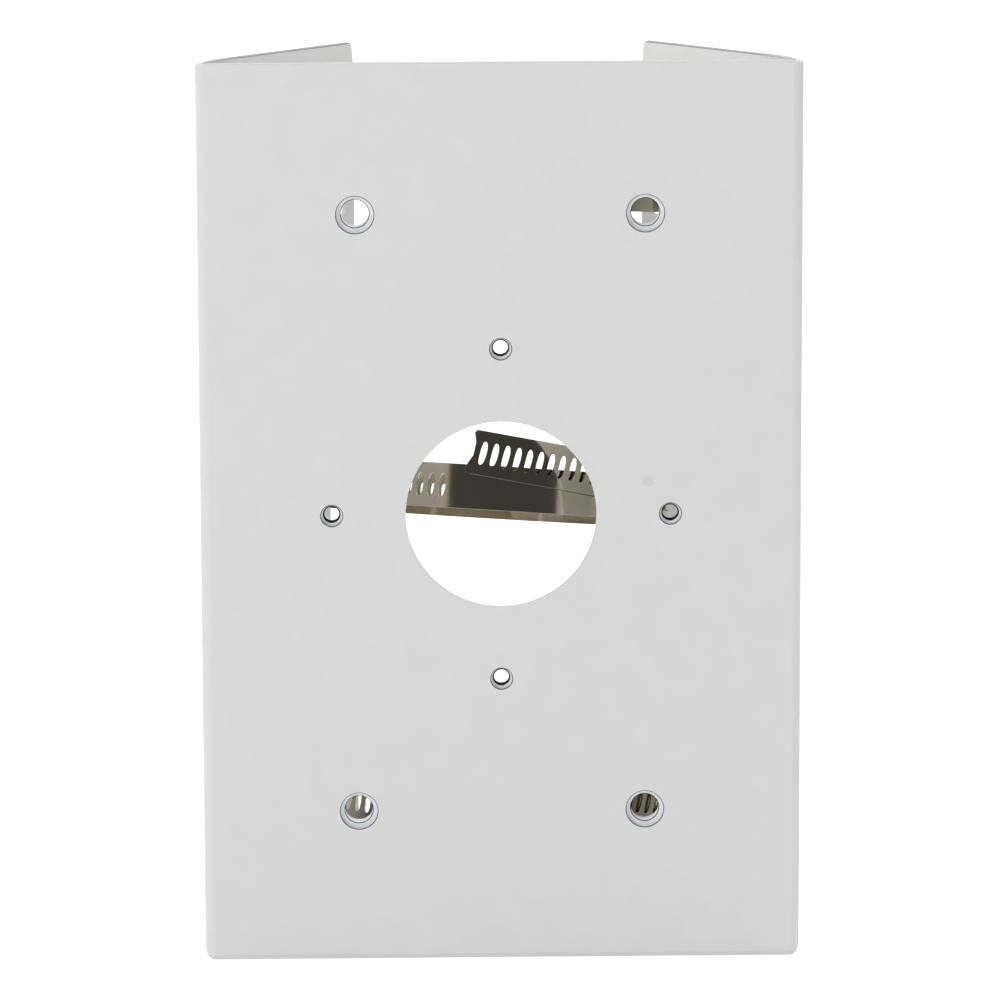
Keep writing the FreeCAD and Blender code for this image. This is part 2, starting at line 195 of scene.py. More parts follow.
def add_bump(tree: Tree, height: Socket, height_mm: float, normal: Socket | None = None) -> Socket:
    """Turn a height into relief.

    Args:
        tree: the node tree.
        height: the height's socket.
        height_mm: real height where it is 1.
        normal: relief that it is laid over.

    Returns:
        The bent normal.
    """
    links = {"Height": height}
    if normal is not None:
        links["Normal"] = normal
    settings = {"Strength": 1.0, "Distance": height_mm * MM}
    return add_node(tree, "Bump", settings, links).outputs["Normal"]


def add_math(tree: Tree, operation: str, first: Socket, second: Socket | float) -> Socket:
    """Add one sum.

    Args:
        tree: the node tree.
        operation: the sum's type name.
        first: socket of the first value.
        second: socket of the second value, or the value itself.

    Returns:
        The result.
    """
    settings: dict[object, object] = {"operation": operation}
    links = {0: first}
    if isinstance(second, float):
        settings[1] = second
    else:
        links[1] = second
    return add_node(tree, "Math", settings, links).outputs[0]


def add_blend(tree: Tree, share: Socket, first: Socket | str, second: str) -> Socket:
    """Blend two colours.

    Args:
        tree: the node tree.
        share: socket of the second colour's share.
        first: socket or hex code of the first colour.
        second: hex code of the second colour.

    Returns:
        The colour.
    """
    settings: dict[object, object] = {"data_type": "RGBA", 7: linear_from_hex(second)}
    links = {0: share}
    if isinstance(first, str):
        settings[6] = linear_from_hex(first)
    else:
        links[6] = first
    return add_node(tree, "Mix", settings, links).outputs[2]


def add_surface(tree: Tree, settings: dict[str, object], links: dict[str, Socket]) -> None:
    """Add the principled shader and the material's output.

    Args:
        tree: the node tree.
        settings: the shader's constants.
        links: the shader's driven inputs.
    """
    surface = add_node(tree, "BsdfPrincipled", settings, links)
    add_node(tree, "OutputMaterial", None, {"Surface": surface.outputs[0]})


def glow_material(name: str, code: str, strength: float) -> Material:
    """Make a material that only glows.

    Args:
        name: name of the material.
        code: its colour.
        strength: its brightness.

    Returns:
        The material.
    """
    material, tree = new_material(name)
    glow = add_node(tree, "Emission", {"Color": linear_from_hex(code), "Strength": strength})
    add_node(tree, "OutputMaterial", None, {"Surface": glow.outputs[0]})
    return material


# Finishes


@dataclass(frozen=True)
class PowderCoat:
    """Satin white polyester powder coat on folded steel.

    The powder melts into a fine orange peel, so broad highlights are soft and a little
    mottled, and the film rounds every edge. It is thin and greyer over the weld mark.
    Painted shade greys it along the sheared lower edge, on the upper rims of the wings
    and faintly along the plate's top edge, and painted light whitens the wings' inner faces.
    """

    name: str = "white_powder_coat"
    colour: str = "#E4E4E4"
    shade: str = "#DEDEDF"
    # Grey of the weld mark, and of the painted shade on the lower edge and the top rims
    mark_and_shade_grey: str = "#8F9296"
    # Painted light: whiter tone for the forward-facing inner faces of the wings
    painted_light_colour: str = "#FBFBFB"
    mark_place_mm: tuple[float, float, float] = (40.8, 0.0, 9.3)
    mark_radius_mm: float = 1.5
    mark_fade: Pair = (0.75, 1.15)
    mark_strength: float = 0.13
    foot_mm: float = -126.9
    foot_fade_mm: float = 0.35
    foot_shade_strength: float = 0.12
    rim_mm: float = 127.0
    rim_fade_mm: float = 0.2
    rim_shade_strength: float = 0.9
    rim_shade_on_plate: float = 0.22
    wing_from_mm: float = 5.0
    wing_full_mm: float = 10.0
    forward_below: float = -0.1
    roughness: float = 0.42
    roughness_spread: float = 0.05
    ior: float = 1.5
    peel_mm: float = 1.1
    grain_mm: float = 0.35
    mottle_mm: float = 9.0
    peel_height_mm: float = 0.012
    grain_height_mm: float = 0.004

    def build(self) -> Material:
        """Build the material.

        Returns:
            The material, in the coordinates of the bracket.
        """
        material, tree = new_material(self.name)
        place = add_node(tree, "TexCoord").outputs["Object"]
        mottle = add_noise(tree, place, 1.0 / (self.mottle_mm * MM), 3.0, 0.55)
        peel = add_noise(tree, place, 1.0 / (self.peel_mm * MM), 1.5, 0.5)
        grain = add_noise(tree, place, 1.0 / (self.grain_mm * MM), 1.0, 0.6)
        relief = add_bump(tree, peel, self.peel_height_mm)
        relief = add_bump(tree, grain, self.grain_height_mm, relief)
        spread = self.roughness_spread
        rough = add_range(tree, mottle, (0.0, 1.0), (self.roughness - spread, self.roughness + spread))

        axes = add_node(tree, "SeparateXYZ", None, {0: place})
        mark_at = tuple(value * MM for value in self.mark_place_mm)
        away = add_node(tree, "VectorMath", {"operation": "DISTANCE", 1: mark_at}, {0: place})
        reach = tuple(share * self.mark_radius_mm * MM for share in self.mark_fade)
        mark = add_range(tree, away.outputs["Value"], reach, (self.mark_strength, 0.0))
        # Painted shade along the downward-facing lower edge
        foot_reach = (self.foot_mm * MM, (self.foot_mm + self.foot_fade_mm) * MM)
        foot_shade = add_range(tree, axes.outputs["Z"], foot_reach, (self.foot_shade_strength, 0.0))
        # Painted shade on the top rims: full on the wings, faint on the plate
        rim_reach = (self.rim_mm * MM, (self.rim_mm + self.rim_fade_mm) * MM)
        rim_shade = add_range(tree, axes.outputs["Z"], rim_reach, (0.0, self.rim_shade_strength))
        wing_reach = (self.wing_from_mm * MM, self.wing_full_mm * MM)
        wing = add_range(tree, axes.outputs["Y"], wing_reach)
        rim_shade_by_depth = add_range(tree, axes.outputs["Y"], wing_reach, (self.rim_shade_on_plate, 1.0))
        mark_and_shade_share = add_math(tree, "MAXIMUM", add_math(tree, "MULTIPLY", rim_shade, rim_shade_by_depth), foot_shade)
        mark_and_shade_share = add_math(tree, "MAXIMUM", mark, mark_and_shade_share)

        # Painted light on the wings' inner faces, which face forward deep in the bracket
        shape = add_node(tree, "NewGeometry")
        turned = add_node(tree, "SeparateXYZ", None, {0: shape.outputs["True Normal"]})
        forward = add_math(tree, "LESS_THAN", turned.outputs["Y"], self.forward_below)
        inside = add_math(tree, "MULTIPLY", wing, forward)
        tone = add_blend(tree, mottle, self.shade, self.colour)
        tone = add_blend(tree, inside, tone, self.painted_light_colour)
        tone = add_blend(tree, mark_and_shade_share, tone, self.mark_and_shade_grey)
        add_surface(
            tree, {"IOR": self.ior, "Metallic": 0.0},
            {"Base Color": tone, "Roughness": rough, "Normal": relief},
        )
        return material


@dataclass(frozen=True)
class RolledStainless:
    """Cold rolled stainless band, bright with a faint roll grain along its length.

    The grain runs round the loop, so reflections stretch across the band.
    """

    name: str
    colour: str
    roughness: float
    line_mm: float = 0.25
    run_mm: float = 30.0
    line_height_mm: float = 0.0012
    smoother: float = 0.03
    rougher: float = 0.04
    anisotropic: float = 0.35

    def build(self) -> Material:
        """Build the material.

        Returns:
            The material, whose grain follows the band's own length and width.
        """
        material, tree = new_material(self.name)
        place = add_node(tree, "UVMap", {"uv_map": "band"})
        stretch = add_node(
            tree, "Mapping",
            {"Scale": (1.0 / self.run_mm, 1.0 / self.line_mm, 1.0)},
            {"Vector": place.outputs["UV"]},
        )
        lines = add_noise(tree, stretch.outputs["Vector"], 1.0, 4.0, 0.65)
        spread = (self.roughness - self.smoother, self.roughness + self.rougher)
        rough = add_range(tree, lines, (0.0, 1.0), spread)
        add_surface(
            tree,
            {"Base Color": linear_from_hex(self.colour), "Metallic": 1.0, "Anisotropic": self.anisotropic},
            {"Roughness": rough, "Normal": add_bump(tree, lines, self.line_height_mm)},
        )
        return material


@dataclass(frozen=True)
class PressedSteel:
    """Pressed, punched or turned steel, whose light scuffs break its highlights into soft patches."""

    name: str
    colour: str
    roughness: float
    scuff_mm: float = 0.6
    scuff_height_mm: float = 0.004
    smoother: float = 0.06
    rougher: float = 0.10

    def build(self) -> Material:
        """Build the material.

        Returns:
            The material, in the coordinates of its piece.
        """
        material, tree = new_material(self.name)
        place = add_node(tree, "TexCoord").outputs["Object"]
        scuff = add_noise(tree, place, 1.0 / (self.scuff_mm * MM), 5.0, 0.6)
        spread = (self.roughness - self.smoother, self.roughness + self.rougher)
        rough = add_range(tree, scuff, (0.0, 1.0), spread)
        add_surface(
            tree, {"Base Color": linear_from_hex(self.colour), "Metallic": 1.0},
            {"Roughness": rough, "Normal": add_bump(tree, scuff, self.scuff_height_mm)},
        )
        return material


POWDER_COAT = PowderCoat()
# A brighter, bluer copy of the coat: painted light on the nuts, which sit shaded in the screw holes
LIT_NUT_COAT = PowderCoat("white_powder_coat_nuts_painted_light", "#FAFCFF", "#F5F8FD")
# Tapped steel made nearly black, painted shade down the bores and on the lead-ins, with a thin glint on
# each thread
BORE_STEEL_AND_SHADE = PressedSteel("tapped_steel_and_shade", "#2A2C31", 0.3)
# Dark steel rings: painted shade of the crevice round each hole, with the bare punched edge
CUT_EDGE_AND_SHADE_STEEL = PressedSteel("punched_edge_and_shade", "#3E4045", 0.4)
BAND_STEEL = RolledStainless("rolled_stainless_band", "#BFB8A8", 0.075)
HOUSING_STEEL = PressedSteel("pressed_stainless_housing", "#B0ADA6", 0.28)
SCREW_STEEL = PressedSteel("bright_zinc_screw", "#BBBBBA", 0.24)


# Shared mesh helpers


def link_object(name: str, data: bpy.types.ID) -> Piece:
    """Make an object and link it to the scene.

    Args:
        name: name of the object.
        data: its mesh, light or camera.

    Returns:
        The object.
    """
    piece = bpy.data.objects.new(name, data)
    bpy.context.scene.collection.objects.link(piece)
    return piece


def object_from_mesh(name: str, points: list[Vector], faces: list[tuple[int, ...]]) -> Piece:
    """Make an object from points and faces.

    Args:
        name: name of the object and its mesh.
        points: corners in metres.
        faces: numbers of each face's corners.

    Returns:
        The object.
    """
    mesh = bpy.data.meshes.new(name)
    mesh.from_pydata([tuple(point) for point in points], [], faces)
    mesh.validate()
    return link_object(name, mesh)


def object_from_shape(name: str, shape: bmesh.types.BMesh) -> Piece:
    """Make an object from an edited mesh, which is freed.

    Args:
        name: name of the object and its mesh.
        shape: the edited mesh.

    Returns:
        The object.
    """
    mesh = bpy.data.meshes.new(name)
    shape.to_mesh(mesh)
    shape.free()
    return link_object(name, mesh)


def tube_faces(around: int, rows: int, first: int = 0) -> list[tuple[int, ...]]:
    """List the faces of a ring whose section is a closed row of points.

    Args:
        around: sections round the ring.
        rows: points in each section.
        first: number of the first point.

    Returns:
        The point numbers of each face, section by section.
    """
    faces = []
    for step in range(around):
        for row in range(rows):
            after, further = (step + 1) % around, (row + 1) % rows
            corners = ((step, row), (after, row), (after, further), (step, further))
            faces.append(tuple(first + turn * rows + place for turn, place in corners))
    return faces


def on_circle(radius: float, angle: float) -> Pair:
    """Give a point on a circle.

    Args:
        radius: the circle's radius.
        angle: the point's angle in radians.

    Returns:
        The point's two coordinates.
    """
    return radius * math.cos(angle), radius * math.sin(angle)


def direction_to(azimuth: float, elevation: float) -> Vector:
    """Give the direction from the object to a place round it.

    Args:
        azimuth: degrees to the right, seen from the front.
        elevation: degrees up.

    Returns:
        A vector of length one.
    """
    turn, climb = math.radians(azimuth), math.radians(elevation)
    return Vector((math.sin(turn) * math.cos(climb), -math.cos(turn) * math.cos(climb), math.sin(climb)))


def aim_from(piece: Piece, azimuth: float, elevation: float, target: Vector, distance: float) -> None:
    """Stand a lamp or camera round a target and turn it there.

    Args:
        piece: the lamp or camera.
        azimuth: degrees to the right, seen from the front.
        elevation: degrees up.
        target: what it looks at.
        distance: how far away it stands.
    """
    back = direction_to(azimuth, elevation)
    piece.location = target + back * distance
    piece.rotation_mode = "QUATERNION"
    piece.rotation_quaternion = (-back).to_track_quat("-Z", "Y")


def smooth_by_angle(piece: Piece, degrees: float) -> None:
    """Shade a piece smooth except across sharp edges.

    Args:
        piece: the piece.
        degrees: edges sharper than this stay sharp.
    """
    mesh = piece.data
    mesh.polygons.foreach_set("use_smooth", [True] * len(mesh.polygons))
    mesh.set_sharp_from_angle(angle=math.radians(degrees))


def dress(piece: Piece, material: Material) -> None:
    """Give every slot of a piece one material.

    Args:
        piece: the piece.
        material: what it gets.
    """
    if not piece.material_slots:
        piece.data.materials.append(material)
    for slot in piece.material_slots:
        slot.material = material


def round_edges(piece: Piece, width_mm: float, segments: int) -> None:
    """Round the sharp edges of a node with a bevel modifier.

    Args:
        piece: the node's object.
        width_mm: bevel width.
        segments: steps across the bevel.
    """
    weld = piece.modifiers.new("weld", "WELD")
    weld.merge_threshold = WELD_MM * MM
    bevel = piece.modifiers.new("film_edge", "BEVEL")
    bevel.width = width_mm * MM
    bevel.segments = segments
    bevel.limit_method = "ANGLE"
    bevel.angle_limit = math.radians(SHARP_DEGREES)
    bevel.use_clamp_overlap = True
    bevel.harden_normals = True


def turn_outward(piece: Piece) -> None:
    """Turn every face of a closed piece outward.

    Args:
        piece: the piece to mend.
    """
    shape = bmesh.new()
    shape.from_mesh(piece.data)
    bmesh.ops.recalc_face_normals(shape, faces=shape.faces)
    shape.to_mesh(piece.data)
    shape.free()


# The straps


def ease(value: float) -> float:
    """Ease a share, so that it starts and stops gently.

    Args:
        value: the share, held between 0 and 1.

    Returns:
        The eased share.
    """
    value = min(1.0, max(0.0, value))
    return value * value * (3.0 - 2.0 * value)


@dataclass(frozen=True)
class LoopSize:
    """Sizes of one strap loop in millimetres and degrees, as the bracket's frame has them."""

    radius: float = 70.0
    band_width: float = 12.4
    band_thickness: float = 0.65
    slot_pitch: float = 3.175
    slot_length: float = 6.5
    slot_left: float = 0.74
    slot_right: float = 1.0
    slot_slant: float = 5.0
    start: float = 12.0
    slots_start: float = -102.1
    lap_start: float = 30.0
    lap_end: float = 14.0
    lap_step: float = 0.85
    tail_leaves: float = -8.0
    tail_risen: float = -90.0
    tail_end: float = -97.64
    tail_rise: float = 8.8
    tail_curl: float = 1.38
    tail_spring: float = 1.3
    tail_tighten: float = 0.026
    tighten_from: float = 200.0
    tail_wave: tuple[Pair, ...] = (
        (-1.0, 1.8), (-0.97, 0.37), (-0.82, 0.0), (-0.54, 0.5),
        (-0.15, 1.64), (0.43, 1.8), (0.85, 1.02), (1.0, 1.37),
    )


@dataclass(frozen=True)
class StrapPose:
    """How one strap hangs: middle of its loop in mm, droop to the back, roll and turn in degrees."""

    middle: tuple[float, float, float]
    droop: float
    roll: float
    turn: float = 0.0

    def matrix(self) -> Matrix:
        """Work out how the loop stands in the bracket.

        Returns:
            The matrix from the loop's own frame, in mm, to the row frame in metres.
        """
        tilt = Matrix.Identity(4)
        for degrees, axis in ((self.roll, "Y"), (-self.droop, "X"), (self.turn, "Z")):
            tilt = tilt @ Matrix.Rotation(math.radians(degrees), 4, axis)
        return Matrix.Scale(MM, 4) @ Matrix.Translation(Vector(self.middle)) @ tilt


POSES = {
    Strap.UPPER: StrapPose((-0.6626, 83.2720, 81.2197), 8.0, 3.9),
    Strap.MIDDLE: StrapPose((-1.2143, 81.7541, -13.1336), 14.4, 4.0),
    Strap.LOWER: StrapPose((-0.3895, 83.6869, -96.6434), 5.0, 3.66, -0.8),
}
WORM_BODY = {
    Strap.UPPER: Bodies.UPPER_WORM,
    Strap.MIDDLE: Bodies.MIDDLE_WORM,
    Strap.LOWER: Bodies.LOWER_WORM,
}


@dataclass
class BandMesh:
    """Builds the slotted band as a flat pattern and wraps it round its loop."""

    size: LoopSize = LoopSize()
    end_steps: int = 24
    seen_right: int = -1
    bulge_power: float = 0.86
    straight_power: float = 0.68
    aim_degrees: float = 0.4
    weld_mm: float = 0.0005

    def path(self, degrees: float) -> Vector:
        """Give the band's centre line.

        Args:
            degrees: angle counted on round the loop.

        Returns:
            The point in the loop's frame, in mm.
        """
        size = self.size
        lapped = degrees + 360.0
        lap_share = (size.lap_start - lapped) / (size.lap_start - size.lap_end)
        radius = size.radius + size.lap_step * ease(lap_share)
        share = max(0.0, size.tail_leaves - lapped) / (size.tail_leaves - size.tail_risen)
        radius += size.tail_spring * ease(share)
        return Vector((*on_circle(radius, math.radians(degrees)), size.tail_rise * share ** size.tail_curl))

    def place(self, run: float, across: float, lift: float) -> Vector:
        """Wrap one point of the flat pattern round the loop.

        Args:
            run: distance along the band from its start, in mm.
            across: distance from the middle of the band, in mm.
            lift: distance out from the band's middle skin, in mm.

        Returns:
            The point in the loop's frame, in mm.
        """
        degrees = self.degrees_at(run)
        point = self.path(degrees)
        ahead = (self.path(degrees - self.aim_degrees) - self.path(degrees + self.aim_degrees)).normalized()
        outward = Vector((*on_circle(1.0, math.radians(degrees)), 0.0))
        outward = (outward - ahead * outward.dot(ahead)).normalized()
        up = ahead.cross(outward).normalized()
        if up.z < 0.0:
            up = -up
        return point + up * across + outward * lift

    def degrees_at(self, run: float) -> float:
        """Give the loop's angle at a distance along the band.

        The tail lies on a wider circle than the loop, so its angles are tightened there to
        keep the pitch of the slots, and the difference fades over the back of the loop.

        Args:
            run: distance along the band from its start, in mm.

        Returns:
            The angle in degrees, counted on round the loop.
        """
        size = self.size
        degrees = size.start - math.degrees(run / size.radius)
        lapped = degrees + 360.0
        if lapped < size.tail_leaves:
            return degrees - size.tail_tighten * (lapped - size.tail_end)
        share = max(0.0, size.tighten_from - lapped) / (size.tighten_from - size.tail_leaves)
        return degrees - size.tail_tighten * (size.tail_leaves - size.tail_end) * share

    def run_at(self, degrees: float) -> float:
        """Give the distance along the band.

        Args:
            degrees: angle of the loop.

        Returns:
            The distance from the band's start, in mm.
        """
        return math.radians(self.size.start - degrees) * self.size.radius

    def slot_ring(self, centre: float) -> list[Pair]:
        """Draw one slanted leaf-shaped slot, nearly straight on its left and bulging on its right.

        Args:
            centre: distance of the slot's middle along the band.

        Returns:
            The ring's points, from the right over the top, the left and the bottom.
        """
        size = self.size
        slant = math.radians(size.slot_slant)
        steps = self.end_steps // 2
        ring = []
        for end in (1, -1):
            for step in range(steps + 1):
                angle = math.pi * step / steps
                across, rise = end * math.cos(angle), end * math.sin(angle)
                bulge = across * self.seen_right > 0.0
                half = size.slot_right if bulge else size.slot_left
                power = self.bulge_power if bulge else self.straight_power
                along = math.copysign(half * abs(across) ** power, across)
                up = math.copysign(size.slot_length / 2 * abs(rise) ** power, rise)
                ring.append((centre + along * math.cos(slant) - up * math.sin(slant),
                             along * math.sin(slant) + up * math.cos(slant)))
        return ring

    def cell_ring(self, first: float, last: float) -> list[Pair]:
        """Draw the border of one pitch of band, point for point with its slot's ring.

        Args:
            first: distance along the band where the pitch starts.
            last: distance where it ends.

        Returns:
            The border's points, from the right over the top, the left and the bottom.
        """
        half = self.size.band_width / 2
        steps = self.end_steps // 2
        upper = [(last + (first - last) * step / steps, half) for step in range(steps + 1)]
        lower = [(first + (last - first) * step / steps, -half) for step in range(steps + 1)]
        return upper + lower

    def tail_edge(self, across: float) -> float:
        """Give the free end's waved cut.

        Args:
            across: distance from the middle of the band, in mm.

        Returns:
            How far the cut stands back from the tip, in mm.
        """
        share = across / (self.size.band_width / 2)
        wave = self.size.tail_wave
        for (low, first), (high, last) in zip(wave, wave[1:]):
            if share < high:
                return first + (last - first) * max(0.0, share - low) / (high - low)
        return wave[-1][1]

    def build(self, name: str) -> Piece:
        """Build the band in the loop's frame, in mm.

        Args:
            name: name of the new piece.

        Returns:
            The object, still in the loop's frame.
        """
        size = self.size
        pitch = size.slot_pitch
        first_slot = self.run_at(size.slots_start)
        end = self.run_at(size.tail_end - 360.0)
        pattern = bmesh.new()
        layer = pattern.loops.layers.uv.new("band")
        flat: dict[tuple[int, int, int], Corner] = {}
        half_skin = size.band_thickness / 2

        def vertex(run: float, across: float, side: int) -> Corner:
            """Give the corner at a place of the flat pattern, made once.

            Args:
                run: distance along the band.
                across: distance from its middle.
                side: 1 on the outer skin, -1 on the inner one.

            Returns:
                The corner.
            """
            key = (round(run * 1000), round(across * 1000), side)
            if key not in flat:
                flat[key] = pattern.verts.new((run, across, side * half_skin))
            return flat[key]

        def face(corners: Iterable[Corner]) -> None:
            """Add a face with the flat pattern as its UV map, unless it has shrunk to a line.

            Args:
                corners: its corners in order.
            """
            corners = list(dict.fromkeys(corners))
            if len(corners) > 2:
                made = pattern.faces.new(corners)
                for loop in made.loops:
                    loop[layer].uv = (loop.vert.co.x, loop.vert.co.y)

        def skins(ring: list[Pair]) -> None:
            """Close a ring of places on both skins.

            Args:
                ring: distance along and across the band, point by point.
            """
            face(vertex(run, across, 1) for run, across in ring)
            face(vertex(run, across, -1) for run, across in reversed(ring))

        def wall(start: Pair, stop: Pair) -> None:
            """Join the two skins along one line.

            Args:
                start: distance along and across the band where the line starts.
                stop: where it ends.
            """
            face((vertex(*start, 1), vertex(*start, -1), vertex(*stop, -1), vertex(*stop, 1)))

        half = size.band_width / 2
        plain_steps = int(first_slot / pitch)
        runs = [first_slot * step / plain_steps for step in range(plain_steps + 1)]
        for start, stop in zip(runs, runs[1:]):
            skins([(start, -half), (stop, -half), (stop, half), (start, half)])
            wall((start, half), (stop, half))
            wall((stop, -half), (start, -half))
        wall((0.0, -half), (0.0, half))

        count = int((end - first_slot) / pitch)
        for index in range(count):
            start = first_slot + index * pitch
            stop = start + pitch
            outer = self.cell_ring(start, stop)
            inner = self.slot_ring((start + stop) / 2)
            for place in range(len(outer)):
                after = (place + 1) % len(outer)
                skins([outer[place], outer[after], inner[after], inner[place]])
                wall(inner[place], inner[after])
            below = len(outer) // 2
            for place in range(below - 1):
                wall(outer[place + 1], outer[place])
                wall(outer[below + place + 1], outer[below + place])

        last = first_slot + count * pitch
        rows = [share * half for share, _ in size.tail_wave]
        tips = [(end - self.tail_edge(row), row) for row in rows]
        for low, high in zip(tips, tips[1:]):
            skins([(last, low[1]), low, high, (last, high[1])])
            wall(high, low)
        wall(tips[-1], (last, half))
        wall((last, -half), tips[0])

        bmesh.ops.recalc_face_normals(pattern, faces=pattern.faces)
        for point in pattern.verts:
            point.co = self.place(point.co.x, point.co.y, point.co.z)
        bmesh.ops.remove_doubles(pattern, verts=pattern.verts, dist=self.weld_mm)
        return object_from_shape(name, pattern)


@dataclass
class WormMesh:
    """Builds a worm screw: end disc, helical thread and necks, with the head of the plain one."""

    axis: float = 75.2
    core: float = 2.9
    crest: float = 3.95
    pitch: float = 3.175
    neck: float = 6.3
    disc: float = 3.55
    disc_span: Pair = (-8.4, -7.6)
    head_from: float = 7.0
    head_overlap: float = 0.3
    tip_radius: float = 0.02
    crest_reach: float = 0.37
    flank: float = 0.15
    runout: float = 0.9
    row_step: float = 0.18
    angle_steps: int = 60
    edge_mm: float = 0.16
    sharp_radians: float = 0.7

    def radius_at(self, along: float, turn: float) -> float:
        """Give the thread's radius.

        Args:
            along: place along the axis, in mm.
            turn: share of a full turn round the axis.

        Returns:
            The radius in mm, which fades to the core at both necks.
        """
        phase = (along / self.pitch - turn) % 1.0
        height = ease((self.crest_reach - abs(phase - 0.5)) / self.flank)
        height *= ease((self.neck - abs(along)) / self.runout)
        return self.core + (self.crest - self.core) * height

    def rows(self) -> list[tuple[float, float | None]]:
        """List the rows of the turned part.

        Returns:
            The place along the axis with a fixed radius, or None where the thread gives it.
        """
        start, stop = self.disc_span
        listed: list[tuple[float, float | None]] = [
            (start, self.tip_radius), (start, self.disc - self.edge_mm), (start + self.edge_mm, self.disc),
            (stop - self.edge_mm, self.disc), (stop, self.disc - self.edge_mm), (stop, self.core),
        ]
        count = int(2 * self.neck / self.row_step)
        listed += [(-self.neck + 2 * self.neck * step / count, None) for step in range(count + 1)]
        listed += [(self.head_from + self.head_overlap, self.core)]
        return listed

    def build(self, name: str, plain: Piece, matrix: Matrix) -> Piece:
        """Build the screw in place.

        Args:
            name: name of the new piece.
            plain: the node that carries the collar and the slotted head.
            matrix: from the loop's frame in mm to the row frame in metres.

        Returns:
            The new object.
        """
        made = bmesh.new()
        made.from_mesh(plain.data)
        made.transform(matrix.inverted())
        bmesh.ops.remove_doubles(made, verts=made.verts, dist=WELD_MM)
        parts = made.verts[:] + made.edges[:] + made.faces[:]
        bmesh.ops.bisect_plane(
            made, geom=parts, plane_co=(self.axis, self.head_from, 0.0), plane_no=(0.0, 1.0, 0.0),
            clear_inner=True,
        )
        closed = [edge for edge in made.edges if edge.is_manifold]
        sharp = [edge for edge in closed if edge.calc_face_angle(0.0) > self.sharp_radians]
        bmesh.ops.bevel(
            made, geom=sharp, offset=self.edge_mm, segments=2, profile=0.5, affect="EDGES",
            clamp_overlap=True,
        )
        previous: list[Corner] = []
        for along, fixed in self.rows():
            row = []
            for step in range(self.angle_steps):
                turn = step / self.angle_steps
                radius = self.radius_at(along, turn) if fixed is None else fixed
                wide, tall = on_circle(radius, FULL_TURN * turn)
                row.append(made.verts.new((self.axis + wide, along, tall)))
            for step in range(self.angle_steps if previous else 0):
                after = (step + 1) % self.angle_steps
                made.faces.new((previous[step], previous[after], row[after], row[step]))
            previous = row
        made.transform(matrix)
        bmesh.ops.recalc_face_normals(made, faces=made.faces)
        return object_from_shape(name, made)


@dataclass
class StrapAssembly:
    """One worm-drive strap: slotted band, pressed housing and worm screw."""

    strap: Strap
    band_steel: Material
    housing_steel: Material
    screw_steel: Material
    band_smooth: float = 35.0
    band_edge_mm: float = 0.1
    housing_edge_mm: float = 0.25
    screw_smooth: float = 40.0

    def build_band(self) -> Piece:
        """Build the fine band that stands for the node's plainer one.

        Returns:
            The band, riding the bracket.
        """
        node = f"{self.strap.value}_band"
        piece = BandMesh().build(f"{node}_fine")
        piece.data.transform(POSES[self.strap].matrix())
        dress(piece, self.band_steel)
        smooth_by_angle(piece, self.band_smooth)
        round_edges(piece, self.band_edge_mm, 2)
        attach(piece, Bodies.BRACKET.value)
        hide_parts(node)
        return piece

    def dress_housing(self) -> Piece:
        """Give the housing its steel and rounded press edges.

        Returns:
            The node's own object.
        """
        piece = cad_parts[f"{self.strap.value}_housing"]
        dress(piece, self.housing_steel)
        round_edges(piece, self.housing_edge_mm, 2)
        return piece

    def build_screw(self) -> Piece:
        """Build the threaded worm screw that stands for the node's plain one.

        Returns:
            The screw, riding the strap's worm body.
        """
        node = f"{self.strap.value}_screw"
        piece = WormMesh().build(f"{node}_fine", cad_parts[node], POSES[self.strap].matrix())
        dress(piece, self.screw_steel)
        smooth_by_angle(piece, self.screw_smooth)
        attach(piece, WORM_BODY[self.strap].value)
        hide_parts(node)
        return piece

    def build(self) -> list[Piece]:
        """Build and dress every piece of the strap.

        Returns:
            The band, the housing and the screw.
        """
        return [self.build_band(), self.dress_housing(), self.build_screw()]


